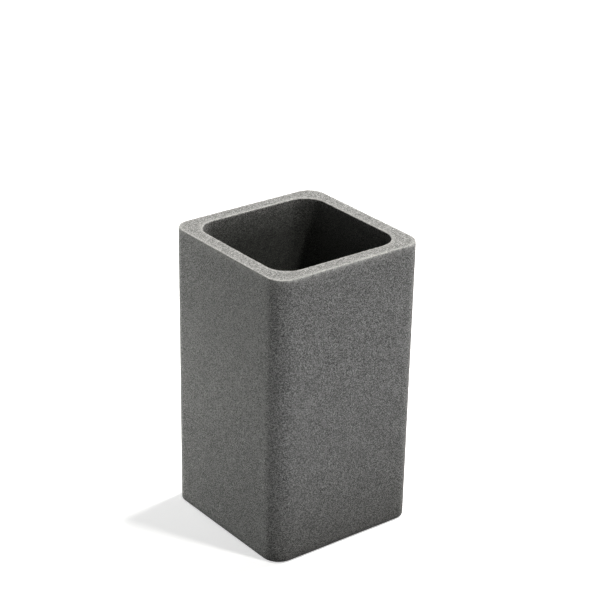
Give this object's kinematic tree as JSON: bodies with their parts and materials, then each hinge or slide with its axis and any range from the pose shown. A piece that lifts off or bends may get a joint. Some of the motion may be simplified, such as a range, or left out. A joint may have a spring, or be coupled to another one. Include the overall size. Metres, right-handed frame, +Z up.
{
  "type": "toothbrush holder",
  "caption": "Square tumbler cast in stone-effect resin, with rounded corners, an open well for toothbrushes and a non-slip foam pad under its foot.",
  "frame": {"origin": "middle of the pad's underside, on the surface that the holder stands on", "axes": "+Z up through the open mouth of the well; X and Y square to the flat sides, which are all alike"},
  "size_m": [0.07, 0.07, 0.1214],
  "materials": {
    "stone_resin": "matte",
    "foam_pad": "matte"
  },
  "bodies": {
    "root": {"tumbler_body": "stone_resin", "base_pad": "foam_pad"}
  },
  "joints": []
}
